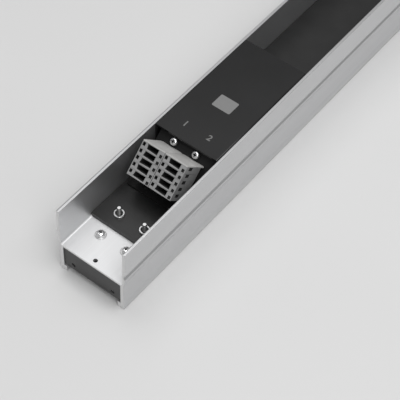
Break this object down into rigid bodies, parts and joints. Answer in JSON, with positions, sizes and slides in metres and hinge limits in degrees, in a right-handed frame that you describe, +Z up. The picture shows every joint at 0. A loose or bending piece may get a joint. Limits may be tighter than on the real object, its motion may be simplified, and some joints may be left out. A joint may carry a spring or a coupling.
{
  "type": "rack power rail",
  "caption": "Straight aluminium H-section rack power rail with a dark cover, open module bays and a connection compartment with sloping terminal blocks.",
  "frame": {"origin": "under the middle of the rail, on the plane of its feet", "axes": "+Y along the rail away from the connection end, +X across it, +Z up out of the open channel"},
  "size_m": [0.058, 0.7, 0.069],
  "materials": {
    "aluminium_satin": "natural satin anodised extrusion with fine lengthwise lines",
    "dark_paint": "dark grey powder coat, fine texture",
    "dark_plastic": "dark grey moulded plastic, satin",
    "terminal_grey": "mid grey polyamide",
    "zinc_steel": "zinc-plated bright steel"
  },
  "bodies": {
    "root": {"rail_profile": "aluminium_satin", "floor_strip": "dark_plastic", "cover_plate": "dark_paint", "terminal_bracket": "dark_paint", "end_cap_near": "dark_plastic", "end_cap_far": "dark_plastic", "terminal_1_1": "terminal_grey", "terminal_1_2": "terminal_grey", "terminal_1_3": "terminal_grey", "terminal_1_4": "terminal_grey", "terminal_1_5": "terminal_grey", "terminal_end_plate_1": "terminal_grey", "terminal_2_1": "terminal_grey", "terminal_2_2": "terminal_grey", "terminal_2_3": "terminal_grey", "terminal_2_4": "terminal_grey", "terminal_2_5": "terminal_grey", "terminal_end_plate_2": "terminal_grey", "web_washer_left": "zinc_steel", "web_screw_left": "zinc_steel", "strip_stud_left": "zinc_steel", "strip_bush_left": "zinc_steel", "bracket_screw_left": "zinc_steel", "web_washer_right": "zinc_steel", "web_screw_right": "zinc_steel", "strip_stud_right": "zinc_steel", "strip_bush_right": "zinc_steel", "bracket_screw_right": "zinc_steel"}
  },
  "joints": []
}
